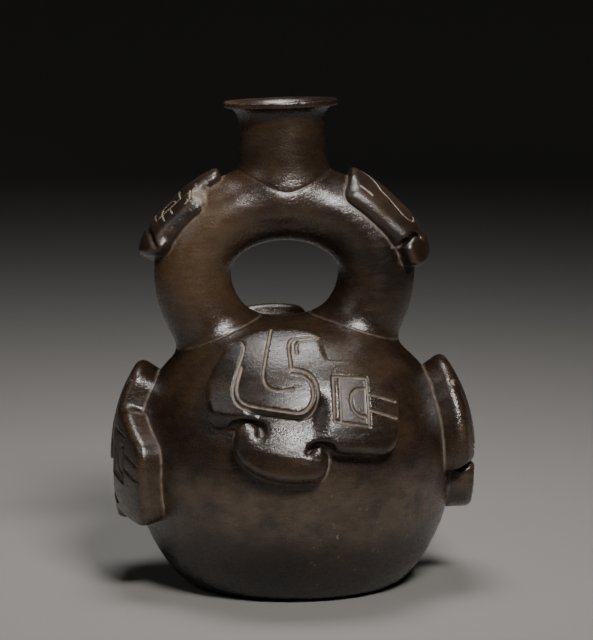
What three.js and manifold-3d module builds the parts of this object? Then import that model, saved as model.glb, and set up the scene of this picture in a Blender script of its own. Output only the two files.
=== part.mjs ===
// Stirrup spout vessel: a globular bottle with a thick ring-shaped stirrup, a short flaring
// spout on top of it, four relief slabs round the belly and two smaller ones on the stirrup's
// shoulders. Everything is one piece of fired clay, hollow from the spout down to the base.
// Millimetres, +Z up. The origin is the middle of the flat underside. The front faces -Y and
// the stirrup stands in the XZ plane.
import * as THREE from 'three';
import { mergeVertices } from 'three/addons/utils/BufferGeometryUtils.js';
import { TessellateModifier } from 'three/addons/modifiers/TessellateModifier.js';
import Module from 'manifold-3d';

const wasm = await Module();
wasm.setup();

// Belly: two half-ovals meeting at the widest girth.
const BELLY_RADIUS = 79;
const GIRTH_HEIGHT = 61;
const CROWN_RISE = 71;          // from the girth to the top of the belly
const CROWN_FULLNESS = 2.26;    // exponent of the oval: 2 is an ellipse, more is squarer
const FOOT_DROP = 80.8;         // the lower oval would end this far below the girth
const FOOT_FULLNESS = 2.08;
const FOOT_CHAMFER = 1.5;       // softened edge round the flat underside
const BELLY_SIDES = 40;
const BELLY_RINGS = 15;
const BELLY_WALL = 6;
const BASE_WALL = 8;

// Stirrup: an oval ring of tube whose two arms run down into the crown of the belly.
const RING_X = -4.2;
const RING_Z = 154.6;
const RING_HALF_WIDTH = 45.4;   // to the middle of the tube
const RING_RISE = 34;
const RING_DROP = 44;
const ARM_ANGLE = -45;          // degrees, where the oval turns into a straight arm
const ARM_LENGTH = 24;
const TUBE_HALF_THICKNESS = 19; // in the plane of the ring
const TUBE_HALF_DEPTH = 22.5;   // front to back
const TUBE_WALL = 5;
const TUBE_ROUND = 7;           // curve divisions of each half of the tube's section
const TUBE_STEPS = 26;

// Spout: stands on the ring, leans a little to the left and ends in a thin flaring lip.
const SPOUT_X = -4.3;
const SPOUT_FOOT_Z = 184;
const SPOUT_LEAN = -1.8;        // degrees
const SPOUT_HEIGHT = 54.5;
const SPOUT_RADIUS = 21.2;
const SPOUT_FOOT_RADIUS = 22.2;
const SPOUT_WALL = 4;
const LIP_RADIUS = 28.4;
const LIP_THICKNESS = 3.2;
const FLARE_HEIGHT = 10;
const SPOUT_SIDES = 22;

// Relief slabs round the belly, drawn flat in millimetres.
const SLAB_PROUD = 9;           // how far the face stands out from the wall
const SLAB_SUNK = 3;            // how far the slab reaches into the wall
const SLAB_ROUNDING = 4;
const SLAB_FACET = 18;          // longest edge before the slab is bent round the belly
const SLOT_FLOOR = 1.5;         // the curled slots stop this far above the wall
const GROOVE_WIDTH = 1.6;
const GROOVE_DEPTH = 1.1;
const FOOT_RIGHT = 13;          // height of the block's lower right corner in the drawing
const SLABS = [
  { azimuth: 0, drop: 0, proud: SLAB_PROUD, across: 1, tall: 1, footRight: FOOT_RIGHT },
  { azimuth: 92, drop: 26.5, proud: 11.5, across: 0.82, tall: 0.95, footRight: FOOT_RIGHT },
  { azimuth: 180, drop: -3, proud: SLAB_PROUD, across: -1, tall: 1, footRight: FOOT_RIGHT },
  { azimuth: -90, drop: 30, proud: 11.5, across: 1, tall: 0.95, footRight: 6 },
];

// Plaques on the stirrup's shoulders.
const PLAQUE_PROUD = 8.5;
const PLAQUE_ROUNDING = 2.6;
const PLAQUE_FACET = 12;
const PLAQUE_SLOT_SCALE = 0.55; // their slots against those of the slabs
const PLAQUE_REACH = 58;        // outer radius of the ring that turns height into angle
const PLAQUE_THINNING = 0.4;    // share of its thickness that a plaque loses
const THINNING_FROM = 12;       // between these two heights
const THINNING_TO = 36;

// How finely curves and round bodies are divided.
const CURVE_DIVISIONS = 4;
const LINE_DIVISIONS = 3;
const CAVITY_SIDES = 24;
const CAVITY_RINGS = 8;
const BORE_ROUND = 5;
const BORE_STEPS = 20;

// The vertical half-section of the belly, from its lowest edge to the crown, as a curve
// of (radius, height).
class BellyCurve extends THREE.Curve {
  getPoint(t, target = new THREE.Vector2()) {
    const split = GIRTH_HEIGHT / (GIRTH_HEIGHT + CROWN_RISE);
    if (t < split) {
      const height = GIRTH_HEIGHT * t / split;
      const depth = (GIRTH_HEIGHT - height) / FOOT_DROP;
      const radius = BELLY_RADIUS * (1 - depth ** FOOT_FULLNESS) ** (1 / FOOT_FULLNESS);
      return target.set(radius, height);
    }
    const turn = (t - split) / (1 - split) * Math.PI / 2;
    const radius = BELLY_RADIUS * Math.max(Math.cos(turn), 0) ** (2 / CROWN_FULLNESS);
    const height = GIRTH_HEIGHT + CROWN_RISE * Math.sin(turn) ** (2 / CROWN_FULLNESS);
    return target.set(radius, height);
  }
}

// The middle line of the stirrup's tube, from the left arm's end over the top to the right's.
class RingCurve extends THREE.Curve {
  getPoint(t, target = new THREE.Vector3()) {
    const sweep = 180 - 2 * ARM_ANGLE;
    const ring = Math.PI / 180 * sweep * RING_HALF_WIDTH;
    const share = ARM_LENGTH / (ring + 2 * ARM_LENGTH);
    const along = THREE.MathUtils.clamp((t - share) / (1 - 2 * share), 0, 1);
    const angle = 180 - ARM_ANGLE - sweep * along;
    ringMiddle(angle, target);
    const past = Math.max(share - t, t - 1 + share, 0) / share * ARM_LENGTH;
    return target.addScaledVector(armDirection(t < 0.5 ? -1 : 1), past);
  }
}

function ringMiddle(degrees, target = new THREE.Vector3()) {
  const angle = THREE.MathUtils.degToRad(degrees);
  const tall = Math.sin(angle) > 0 ? RING_RISE : RING_DROP;
  return target.set(RING_X + RING_HALF_WIDTH * Math.cos(angle), 0, RING_Z + tall * Math.sin(angle));
}

function ringOutward(degrees) {
  const angle = THREE.MathUtils.degToRad(degrees);
  const tall = Math.sin(angle) > 0 ? RING_RISE : RING_DROP;
  return new THREE.Vector3(Math.cos(angle) * tall, 0, Math.sin(angle) * RING_HALF_WIDTH).normalize();
}

function armDirection(side) {
  const outward = ringOutward(ARM_ANGLE);
  return new THREE.Vector3(side * outward.z, 0, -outward.x);
}

// A closed geometry becomes a solid once its shared corners are merged. A mirrored one has
// its faces turned round again.
function toSolid(geometry, mirrored = false) {
  geometry.deleteAttribute('normal');
  geometry.deleteAttribute('uv');
  const merged = mergeVertices(geometry, 1e-4);
  const index = merged.index.array;
  const corners = [];
  for (let i = 0; i < index.length; i += 3) {
    const [a, b, c] = [index[i], index[i + 1], index[i + 2]];
    if (a !== b && b !== c && c !== a) corners.push(a, ...(mirrored ? [c, b] : [b, c]));
  }
  return new wasm.Manifold(new wasm.Mesh({
    numProp: 3,
    vertProperties: merged.attributes.position.array,
    triVerts: new Uint32Array(corners),
  }));
}

function toGeometry(solid) {
  const mesh = solid.getMesh();
  const geometry = new THREE.BufferGeometry();
  geometry.setAttribute('position', new THREE.BufferAttribute(mesh.vertProperties, 3));
  geometry.setIndex(new THREE.BufferAttribute(mesh.triVerts, 1));
  geometry.computeVertexNormals();
  return geometry;
}

function spun(profile, sides) {
  return new THREE.LatheGeometry(profile, sides).rotateX(Math.PI / 2);
}

const bellyCurve = new BellyCurve();
bellyCurve.arcLengthDivisions = 400;
const bellyLength = bellyCurve.getLength();
const girthLength = bellyCurve.getLengths()
  .at(Math.round(400 * GIRTH_HEIGHT / (GIRTH_HEIGHT + CROWN_RISE)));

function belly() {
  const points = bellyCurve.getSpacedPoints(BELLY_RINGS);
  points[0].y = FOOT_CHAMFER;
  points.at(-1).x = 0;
  const rim = new THREE.Vector2(points[0].x - FOOT_CHAMFER * 1.5, 0);
  return spun([new THREE.Vector2(0, 0), rim, ...points], BELLY_SIDES);
}

function bellyCavity() {
  const points = [];
  for (let i = 0; i <= CAVITY_RINGS; i += 1) {
    const outer = bellyCurve.getPointAt(i / CAVITY_RINGS);
    const along = bellyCurve.getTangentAt(i / CAVITY_RINGS);
    const radius = Math.max(outer.x - along.y * BELLY_WALL, 0);
    points.push(new THREE.Vector2(radius, Math.max(outer.y + along.x * BELLY_WALL, BASE_WALL)));
  }
  points.at(-1).set(0, GIRTH_HEIGHT + CROWN_RISE - BELLY_WALL);
  return spun([new THREE.Vector2(0, BASE_WALL), ...points], CAVITY_SIDES);
}

function ringTube(inset, divisions, steps) {
  const section = new THREE.Shape();
  section.absellipse(0, 0, TUBE_HALF_DEPTH - inset, TUBE_HALF_THICKNESS - inset, 0, Math.PI * 2);
  const settings = { steps, curveSegments: divisions, extrudePath: new RingCurve() };
  return new THREE.ExtrudeGeometry(section, settings);
}

function spoutPlace(geometry) {
  geometry.rotateY(THREE.MathUtils.degToRad(SPOUT_LEAN));
  return geometry.translate(SPOUT_X, 0, SPOUT_FOOT_Z);
}

function spout() {
  const waist = SPOUT_HEIGHT - FLARE_HEIGHT;
  const outline = new THREE.Path();
  outline.moveTo(0, 0);
  outline.lineTo(SPOUT_FOOT_RADIUS, 0);
  outline.quadraticCurveTo(SPOUT_RADIUS, waist * 0.5, SPOUT_RADIUS, waist);
  outline.quadraticCurveTo(SPOUT_RADIUS + 0.8, SPOUT_HEIGHT - LIP_THICKNESS, LIP_RADIUS - 1.2,
    SPOUT_HEIGHT - LIP_THICKNESS);
  outline.quadraticCurveTo(LIP_RADIUS + 1, SPOUT_HEIGHT - LIP_THICKNESS / 2, LIP_RADIUS - 1.2,
    SPOUT_HEIGHT);
  outline.lineTo(0, SPOUT_HEIGHT);
  return spoutPlace(spun(outline.getPoints(CURVE_DIVISIONS), SPOUT_SIDES));
}

function spoutBore() {
  const bore = SPOUT_RADIUS - SPOUT_WALL;
  const above = 2;
  const outline = new THREE.Path();
  outline.moveTo(0, 0);
  outline.lineTo(bore, 0);
  outline.lineTo(bore, SPOUT_HEIGHT - FLARE_HEIGHT);
  outline.quadraticCurveTo(bore + 0.8, SPOUT_HEIGHT - LIP_THICKNESS * 0.8, LIP_RADIUS - LIP_THICKNESS,
    SPOUT_HEIGHT);
  outline.lineTo(LIP_RADIUS - LIP_THICKNESS + 1, SPOUT_HEIGHT + above);
  outline.lineTo(0, SPOUT_HEIGHT + above);
  return spoutPlace(spun(outline.getPoints(CURVE_DIVISIONS), SPOUT_SIDES));
}

// The relief is drawn flat: x across to the right as seen from outside, y up the wall from
// the girth. footRight is the height of the block's lower right corner.
function slabOutline(footRight) {
  const shape = new THREE.Shape();
  shape.moveTo(-44.5, 27);
  shape.quadraticCurveTo(-47.5, 43, -39, 60);
  shape.quadraticCurveTo(-36, 67, -29.5, 70);
  shape.quadraticCurveTo(-22, 80, -8, 80);
  shape.quadraticCurveTo(10, 80, 10.5, 68);
  shape.lineTo(12, 59.5);
  shape.lineTo(20.5, 58.5);
  shape.quadraticCurveTo(31, 53, 39, 48);
  shape.quadraticCurveTo(45, 44, 45, 34);
  shape.lineTo(44.5, footRight + 9);
  shape.quadraticCurveTo(43, footRight, 34, footRight);
  shape.lineTo(22, footRight + 1.5);
  shape.quadraticCurveTo(14, footRight + 2, 10.8, footRight + 3);
  shape.quadraticCurveTo(11.6, 3.2, 3, 2.3);
  shape.quadraticCurveTo(-5, 1, -13, 2.3);
  shape.quadraticCurveTo(-34.5, 8, -34.2, 21);
  shape.lineTo(-32.8, 26.6);
  return shape;
}

// The smaller plaque: the same figure with its top cut off square and a shallow lobe below.
function plaqueOutline() {
  const shape = new THREE.Shape();
  shape.moveTo(-22, 14.5);
  shape.quadraticCurveTo(-28, 38, -26, 54);
  shape.quadraticCurveTo(-25.5, 59.5, -19, 60);
  shape.lineTo(3, 60);
  shape.quadraticCurveTo(10, 60, 10, 54);
  shape.lineTo(10.5, 49);
  shape.lineTo(15, 47.5);
  shape.quadraticCurveTo(21.5, 45.5, 21, 38);
  shape.lineTo(17, 17);
  shape.quadraticCurveTo(16, 11.5, 11, 11.5);
  shape.lineTo(6.8, 12);
  shape.quadraticCurveTo(8.5, 4.5, 1, 4);
  shape.quadraticCurveTo(-4, 3, -9, 4);
  shape.quadraticCurveTo(-18.5, 6, -17.8, 14);
  return shape;
}

// Two curled slots free the ends of the lower lobe from the block above it.
function leftSlot(scale) {
  const shape = new THREE.Shape();
  shape.moveTo(-37 * scale, 30 * scale);
  shape.bezierCurveTo(-24 * scale, 32.5 * scale, -14 * scale, 32.5 * scale, -17.2 * scale, 24 * scale);
  shape.quadraticCurveTo(-18.4 * scale, 21.5 * scale, -20.4 * scale, 22.2 * scale);
  shape.bezierCurveTo(-21.5 * scale, 28.5 * scale, -25 * scale, 28.7 * scale, -32.5 * scale, 26.4 * scale);
  shape.lineTo(-37 * scale, 25 * scale);
  return shape;
}

function rightSlot(scale) {
  const shape = new THREE.Shape();
  shape.moveTo(-1 * scale, 14.8 * scale);
  shape.bezierCurveTo(-1.5 * scale, 20 * scale, 6 * scale, 24.5 * scale, 11 * scale, 18.4 * scale);
  shape.lineTo(16 * scale, 14 * scale);
  shape.lineTo(12 * scale, 13.6 * scale);
  shape.bezierCurveTo(8 * scale, 20 * scale, 2 * scale, 20 * scale, -1 * scale, 14.8 * scale);
  return shape;
}

// The incised drawing: a doubled hooked band on the left, a framed half-round on the right
// with two bars running from it to the edge.
function hookBandOuter() {
  const path = new THREE.Path();
  path.moveTo(-32, 66);
  path.bezierCurveTo(-29, 69.5, -25, 67.5, -26.3, 61);
  path.lineTo(-31, 45);
  path.bezierCurveTo(-33, 37, -29, 34.6, -24, 33.8);
  path.lineTo(-4, 31.2);
  path.bezierCurveTo(3, 30.6, 6.2, 38, 5.2, 43.5);
  path.bezierCurveTo(4.4, 50.5, 0, 53, -5.6, 53.2);
  path.lineTo(-6, 64);
  path.quadraticCurveTo(-6, 70.8, 0, 71);
  path.lineTo(7.5, 71.2);
  return path;
}

function hookBandInner() {
  const path = new THREE.Path();
  path.moveTo(-12.9, 77);
  path.lineTo(-17.6, 51);
  path.bezierCurveTo(-18.2, 44, -15, 42.6, -10, 42.6);
  path.lineTo(-5.4, 43.6);
  return path;
}

function halfRound() {
  const path = new THREE.Path();
  path.moveTo(26.6, 42.6);
  path.lineTo(23.5, 42.6);
  path.bezierCurveTo(18.4, 42.6, 17.6, 31.4, 26, 30.2);
  return path;
}

function segment(x1, y1, x2, y2) {
  const path = new THREE.Path();
  path.moveTo(x1, y1);
  path.lineTo(x2, y2);
  return path;
}

function incisedLines() {
  return [
    hookBandOuter(),
    hookBandInner(),
    halfRound(),
    segment(28, 39.9, 41, 35.4),
    segment(28, 33, 41, 28.4),
  ];
}

function framePoints(inset) {
  const left = 13.8 + inset;
  const right = 27.6 - inset;
  return [
    new THREE.Vector2(left, 29 + inset),
    new THREE.Vector2(right, 26.2 + inset),
    new THREE.Vector2(right, 47 - inset),
    new THREE.Vector2(left, 48.6 - inset),
  ];
}

// A stroke of the graver: the path widened to both sides, mitred at its corners.
function stroke(points, width) {
  const sides = [[], []];
  points.forEach((point, i) => {
    const before = points[Math.max(i - 1, 0)];
    const after = points[Math.min(i + 1, points.length - 1)];
    const into = (i > 0 ? point.clone().sub(before) : after.clone().sub(point)).normalize();
    const out = (i < points.length - 1 ? after.clone().sub(point) : into.clone()).normalize();
    const across = new THREE.Vector2(-into.y - out.y, into.x + out.x);
    across.divideScalar(1 + into.dot(out)).multiplyScalar(width / 2);
    sides[0].push(point.clone().add(across));
    sides[1].unshift(point.clone().sub(across));
  });
  return new THREE.Shape([...sides[0], ...sides[1]]);
}

function frameShape() {
  const shape = new THREE.Shape(framePoints(-GROOVE_WIDTH / 2));
  shape.holes.push(new THREE.Path(framePoints(GROOVE_WIDTH / 2)));
  return shape;
}

// A flat shape standing up from `low` to `high` above the wall, its edges rounded over.
function raised(shape, low, high, rounding = 0) {
  const flat = new THREE.ExtrudeGeometry(shape, {
    depth: high - low - 2 * rounding,
    curveSegments: CURVE_DIVISIONS,
    bevelEnabled: rounding > 0,
    bevelThickness: rounding,
    bevelSize: rounding,
    bevelOffset: -rounding,
    bevelSegments: 2,
  });
  return toSolid(flat.translate(0, 0, low + rounding));
}

// A slab is carved flat: first the two slots, then the incised lines.
function carved(outline, proud, rounding, slotScale, lines) {
  const above = proud + 1;
  let slab = raised(outline, -SLAB_SUNK, proud, rounding);
  for (const slot of [leftSlot(slotScale), rightSlot(slotScale)]) {
    slab = slab.subtract(raised(slot, SLOT_FLOOR, above));
  }
  for (const groove of lines) {
    slab = slab.subtract(raised(groove, proud - GROOVE_DEPTH, above));
  }
  return slab;
}

// A carved slab is widened or mirrored by `across`, divided finely enough to bend, and laid
// on the vessel by `place`.
function bent(slab, facet, across, place) {
  const flat = toGeometry(slab).toNonIndexed();
  flat.deleteAttribute('normal');
  const divided = new TessellateModifier(facet, 12).modify(flat);
  const position = divided.attributes.position;
  for (let i = 0; i < position.count; i += 1) {
    const laid = place(position.getX(i) * across, position.getY(i), position.getZ(i));
    position.setXYZ(i, laid.x, laid.y, laid.z);
  }
  return toSolid(divided, across < 0);
}

function onBelly(azimuth, tall, drop) {
  return (x, y, proud) => {
    const share = (y * tall - drop + girthLength) / bellyLength;
    const wall = bellyCurve.getPointAt(share);
    const along = bellyCurve.getTangentAt(share);
    const turn = THREE.MathUtils.degToRad(azimuth) + x / wall.x;
    const radius = wall.x + proud * along.y;
    const height = wall.y - proud * along.x;
    return new THREE.Vector3(radius * Math.sin(turn), -radius * Math.cos(turn), height);
  };
}

function onShoulder(side) {
  return (x, y, height) => {
    const up = THREE.MathUtils.radToDeg(y / PLAQUE_REACH);
    const degrees = side > 0 ? up : 180 - up;
    const wrap = x / TUBE_HALF_DEPTH;
    const thinning = PLAQUE_THINNING * THREE.MathUtils.smoothstep(y, THINNING_FROM, THINNING_TO);
    const proud = height > 0 ? height * (1 - thinning) : height;
    const laid = ringMiddle(degrees);
    laid.addScaledVector(ringOutward(degrees), (TUBE_HALF_THICKNESS + proud) * Math.cos(wrap));
    laid.y = side * (TUBE_HALF_DEPTH + proud) * Math.sin(wrap);
    return laid;
  };
}

function bellySlab({ azimuth, drop, proud, across, tall, footRight }) {
  const strokes = incisedLines().map((path) => stroke(path.getPoints(LINE_DIVISIONS), GROOVE_WIDTH));
  const lines = [...strokes, frameShape()];
  const slab = carved(slabOutline(footRight), proud, SLAB_ROUNDING, 1, lines);
  return bent(slab, SLAB_FACET, across, onBelly(azimuth, tall, drop));
}

function shoulderPlaque(side) {
  const slab = carved(plaqueOutline(), PLAQUE_PROUD, PLAQUE_ROUNDING, PLAQUE_SLOT_SCALE, []);
  return bent(slab, PLAQUE_FACET, 1, onShoulder(side));
}

function vessel() {
  let outside = toSolid(belly());
  outside = outside.add(toSolid(ringTube(0, TUBE_ROUND, TUBE_STEPS)));
  outside = outside.add(toSolid(spout()));
  for (const slab of SLABS) outside = outside.add(bellySlab(slab));
  for (const side of [1, -1]) outside = outside.add(shoulderPlaque(side));
  let inside = toSolid(bellyCavity());
  inside = inside.add(toSolid(ringTube(TUBE_WALL, BORE_ROUND, BORE_STEPS)));
  inside = inside.add(toSolid(spoutBore()));
  return toGeometry(outside.subtract(inside));
}

const clay = new THREE.MeshStandardMaterial({ color: 0x33271f, roughness: 0.42, metalness: 0 });

const group = new THREE.Group();
const body = new THREE.Mesh(vessel(), clay);
body.name = 'vessel';
group.add(body);

export default group;
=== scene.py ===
# Stirrup spout vessel in burnished, smoke-blackened earthenware. The hollow body (belly,
# stirrup and spout) is one piece; four relief slabs and two plaques are luted onto it.
# Shapes are worked in millimetres, as the potter would measure them, and end in metres.
import math
from collections import namedtuple

import bmesh
import bpy
import numpy as np
from mathutils import Matrix, Vector, noise


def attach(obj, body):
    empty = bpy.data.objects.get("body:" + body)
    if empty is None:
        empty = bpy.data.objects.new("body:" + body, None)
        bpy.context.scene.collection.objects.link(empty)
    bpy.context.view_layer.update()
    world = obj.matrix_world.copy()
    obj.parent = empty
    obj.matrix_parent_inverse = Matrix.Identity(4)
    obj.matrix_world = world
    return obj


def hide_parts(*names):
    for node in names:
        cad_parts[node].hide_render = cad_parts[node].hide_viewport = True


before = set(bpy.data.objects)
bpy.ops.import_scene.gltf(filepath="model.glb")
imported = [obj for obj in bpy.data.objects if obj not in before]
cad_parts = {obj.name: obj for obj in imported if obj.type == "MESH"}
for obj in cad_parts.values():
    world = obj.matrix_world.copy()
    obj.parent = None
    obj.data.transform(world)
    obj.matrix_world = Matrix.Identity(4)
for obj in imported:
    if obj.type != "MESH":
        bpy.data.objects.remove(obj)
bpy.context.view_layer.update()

MM = 0.001

# A distance longer than any on the vessel.
FAR = 1e9

# Belly: two half-ovals meeting at the widest girth.
BELLY_RADIUS = 79
GIRTH_HEIGHT = 61
CROWN_RISE = 71
CROWN_FULLNESS = 2.26
FOOT_DROP = 80.8
FOOT_FULLNESS = 2.08
FOOT_CHAMFER = 1.5
BELLY_WALL = 6
BASE_WALL = 8

# Stirrup: an oval ring of tube with straight arms running down into the belly.
RING_X = -4.2
RING_Z = 154.6
RING_HALF_WIDTH = 45.4
RING_RISE = 34
RING_DROP = 44
ARM_ANGLE = -45
ARM_LENGTH = 24
TUBE_HALF_THICKNESS = 19
TUBE_HALF_DEPTH = 22.5
TUBE_WALL = 5
ARM_FILLET = 9

# Spout.
SPOUT_X = -4.3
SPOUT_FOOT_Z = 184
SPOUT_LEAN = math.radians(-1.8)
SPOUT_HEIGHT = 54.5
SPOUT_RADIUS = 21.2
SPOUT_FOOT_RADIUS = 22.2
SPOUT_WALL = 4
LIP_RADIUS = 28.4
LIP_THICKNESS = 3.2
FLARE_HEIGHT = 10
RIM_ROUNDING = 0.9
MOUTH_EASING = 1.2
SPOUT_FILLET = 7

# Traces of the making: lines where parts were joined, and slow unevenness, which spares the
# foot. A pair gives where a change starts and where it is done, and a joint's reach is how
# near it a point has to lie to count.
JOINT_DEPTH = 0.45
JOINT_WIDTH = (0.2, 1)
JOINT_REACH = 8
SPOUT_JOINT_REACH = 6
HAND_DEPTH = 0.14
HAND_SPAN = 17
FOOT_SPARED = (0.5, 6)

# How strongly earth clings in joints and slots (1 is a full cover), and how far off them
# it starts to thin and is gone.
EARTH_AT_SLABS = 0.65
EARTH_AT_PLAQUES = 0.55
EARTH_AT_ARMS = 0.32
EARTH_AT_SPOUT = 0.12
EARTH_IN_SLOTS = 0.6
EARTH_OFF_SLABS = (0.2, 1.3)
EARTH_OFF_PLAQUES = (0.5, 1.5)
EARTH_OFF_JOINTS = (0.2, 0.9)

# Slabs. Rounding and lean are given for the edge in general, then what is added at the
# lower lobe and at the corner beside it. Along the crest of every edge a paler colour is
# painted as a highlight; the crest lies at a share of its rounding.
SLAB_PROUD = 9
SIDE_SLAB_PROUD = 11.5
SIDE_SLAB_TALL = 0.95
SLAB_SUNK = 3
SLOT_FLOOR = 1.5
SLOT_ROUNDING = 1.5
GROOVE_WIDTH = 1.25
GROOVE_DEPTH = 1.0
SLAB_ROUNDING = (3.4, -1.3, 4.6)
SLAB_LEAN = (0.8, 2.6, 1.4)
LEAN_REACH = 9
SOFT_CORNER = (-41, 27)
SOFT_CORNER_SPREAD = 8
NECK_DEPTH = 4.2
NECK_RUN = 17
NECK_TILT = 0.02
NECK_MIDDLE = -9
EYE_DEPTH = 0.45
EYE_DULLNESS = 0.25
CREST_PLACE = 0.45
CREST_HIGHLIGHT_WIDTH = 1.1
FOOT_RIGHT = 13
FOOT_RIGHT_LEFT_SLAB = 6

# Plaques. Rounding and lean are given for the ends, then what is added along the sides.
PLAQUE_PROUD = 8.5
PLAQUE_REACH = 58
PLAQUES_CLEAR_MIDDLE_BY = 18
PLAQUE_THINNING = 0.4
THINNING_FROM = 12
THINNING_TO = 36
PLAQUE_ROUNDING = (2.4, 4.4)
PLAQUE_LEAN = (0.3, 0.9)
PLAQUE_DULLNESS = 0.12
FINE_GROOVE_WIDTH = 0.95
VALLEY_DEPTH = 1.6
VALLEY_HALF_WIDTH = 2
WORN_AT = (15, 49)
WORN_SPREAD = (8, 9)
FLAKE_DEPTH = 0.5
FLAKE_SIZE = 2.4
CRUMB_SIZE = 0.9

# How finely the clay is modelled.
BODY_CELL = 1.95
SLAB_CELL = 0.68
PLAQUE_CELL = 0.55
CURVE_DIVISIONS = 12
LOWER_STEPS = 90
UPPER_STEPS = 110
ROUND_SIDES = 96
FINE_REACHES = (2.6, 1.3)
SOFTENING_ROUNDS = 3
LINE_MARGIN = 1.5
SHARES = 20


# ---------------------------------------------------------------- drawing in the flat

def quadratic(a, b, c, t):
    return (1 - t) ** 2 * a + 2 * t * (1 - t) * b + t * t * c


def cubic(a, b, c, d, t):
    return (1 - t) ** 3 * a + 3 * t * (1 - t) ** 2 * b + 3 * t * t * (1 - t) * c + t ** 3 * d


def drawn(*steps):
    """Points along a drawn line: each step is a corner (2 numbers), a curve with one
    handle (4) or a curve with two (6)."""
    points = [np.array(steps[0], float)]
    for step in steps[1:]:
        corners = [points[-1], *np.array(step, float).reshape(-1, 2)]
        if len(corners) == 2:
            points.append(corners[1])
            continue
        curve = quadratic if len(corners) == 3 else cubic
        for i in range(1, CURVE_DIVISIONS + 1):
            points.append(curve(*corners, i / CURVE_DIVISIONS))
    return np.array(points)


def nearest(points, line):
    """Distance from each point to a drawn line, and the way to its nearest point."""
    best = np.full(len(points), FAR)
    way = np.zeros_like(points)
    for a, b in zip(line[:-1], line[1:]):
        run = b - a
        reach = run @ run
        if reach < 1e-12:
            continue
        share = np.clip((points - a) @ run / reach, 0, 1)
        off = a + share[:, None] * run - points
        distance = np.sqrt((off * off).sum(1))
        closer = distance < best
        best[closer] = distance[closer]
        way[closer] = off[closer]
    return best, way


def within(points, outline):
    """Whether each point lies inside a closed outline."""
    inside = np.zeros(len(points), bool)
    x, y = points[:, 0], points[:, 1]
    for a, b in zip(outline, np.roll(outline, -1, axis=0)):
        if a[1] == b[1]:
            continue
        crosses = (a[1] > y) != (b[1] > y)
        inside ^= crosses & (x < (b[0] - a[0]) * (y - a[1]) / (b[1] - a[1]) + a[0])
    return inside


def closed(outline):
    return np.vstack([outline, outline[:1]])


def signed(points, line):
    """Distance to an outline, less than nothing inside it. A half-section is left open
    along the axis, where it has no skin."""
    distance, _ = nearest(points, line)
    return np.where(within(points, line), -distance, distance)


def eased(value, low, high):
    share = np.clip((value - low) / (high - low), 0, 1)
    return share * share * (3 - 2 * share)


# ---------------------------------------------------------------- sections of the body

def belly_radius(height):
    depth = (GIRTH_HEIGHT - height) / FOOT_DROP
    return BELLY_RADIUS * (1 - depth ** FOOT_FULLNESS) ** (1 / FOOT_FULLNESS)


def belly_wall():
    """The outer wall as (radius, height) from its lowest edge to the crown."""
    lower = np.linspace(0, GIRTH_HEIGHT, LOWER_STEPS)
    turn = np.linspace(0, math.pi / 2, UPPER_STEPS)[1:]
    radius = BELLY_RADIUS * np.cos(turn).clip(0) ** (2 / CROWN_FULLNESS)
    height = GIRTH_HEIGHT + CROWN_RISE * np.sin(turn) ** (2 / CROWN_FULLNESS)
    crown = np.stack([radius, height], 1)
    wall = np.concatenate([np.stack([belly_radius(lower), lower], 1), crown])
    wall[-1, 0] = 0
    return wall


WALL = belly_wall()
WALL_LENGTHS = np.concatenate([[0], np.cumsum(np.hypot(*np.diff(WALL, axis=0).T))])
GIRTH_LENGTH = WALL_LENGTHS[LOWER_STEPS - 1]


def belly_section():
    foot = WALL[0, 0]
    wall = WALL[WALL[:, 1] > FOOT_CHAMFER * 2]
    edge = [[foot - FOOT_CHAMFER * 1.5, 0], [foot - 0.4, FOOT_CHAMFER * 0.5]]
    return np.vstack([[[0, 0]], edge, wall])


def spout_section():
    waist = SPOUT_HEIGHT - FLARE_HEIGHT
    under = SPOUT_HEIGHT - LIP_THICKNESS
    edge = LIP_RADIUS - 1.2
    return drawn(
        (0, 0),
        (SPOUT_FOOT_RADIUS, 0),
        (SPOUT_RADIUS, waist * 0.5, SPOUT_RADIUS, waist),
        (SPOUT_RADIUS + 0.8, under, edge, under),
        (LIP_RADIUS - 0.3, under, LIP_RADIUS - 0.2, under + RIM_ROUNDING),
        (LIP_RADIUS, SPOUT_HEIGHT - 0.8),
        (LIP_RADIUS + 0.1, SPOUT_HEIGHT, LIP_RADIUS - RIM_ROUNDING, SPOUT_HEIGHT),
        (0, SPOUT_HEIGHT),
    )


def bore_section():
    bore = SPOUT_RADIUS - SPOUT_WALL
    mouth = LIP_RADIUS - LIP_THICKNESS
    return drawn(
        (0, 0),
        (bore, 0),
        (bore, SPOUT_HEIGHT - FLARE_HEIGHT),
        (bore + 0.5, SPOUT_HEIGHT - LIP_THICKNESS * 0.35, mouth, SPOUT_HEIGHT),
        (mouth + 1, SPOUT_HEIGHT + 2),
        (0, SPOUT_HEIGHT + 2),
    )


def ring_middle(angle):
    tall = np.where(np.sin(angle) > 0, RING_RISE, RING_DROP)
    return np.stack([RING_X + RING_HALF_WIDTH * np.cos(angle), RING_Z + tall * np.sin(angle)], -1)


def ring_outward(angle):
    tall = np.where(np.sin(angle) > 0, RING_RISE, RING_DROP)
    way = np.stack([np.cos(angle) * tall, np.sin(angle) * RING_HALF_WIDTH], -1)
    return way / np.sqrt((way * way).sum(-1, keepdims=True))


def ring_line():
    """The tube's middle in the plane of the ring, from the left arm's end to the right's."""
    end = math.radians(ARM_ANGLE)
    arc = ring_middle(np.linspace(math.pi - end, end, 160))
    outward = ring_outward(np.array(end))
    down = ARM_LENGTH * np.array([outward[1], -outward[0]])
    left = arc[0] + down * (-1, 1)
    return np.vstack([left, arc, arc[-1] + down])


RING_LINE = ring_line()


# ---------------------------------------------------------------- working the clay

def coordinates(mesh):
    flat = np.empty(len(mesh.vertices) * 3, np.float32)
    mesh.vertices.foreach_get("co", flat)
    return flat.reshape(-1, 3).astype(float)


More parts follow.
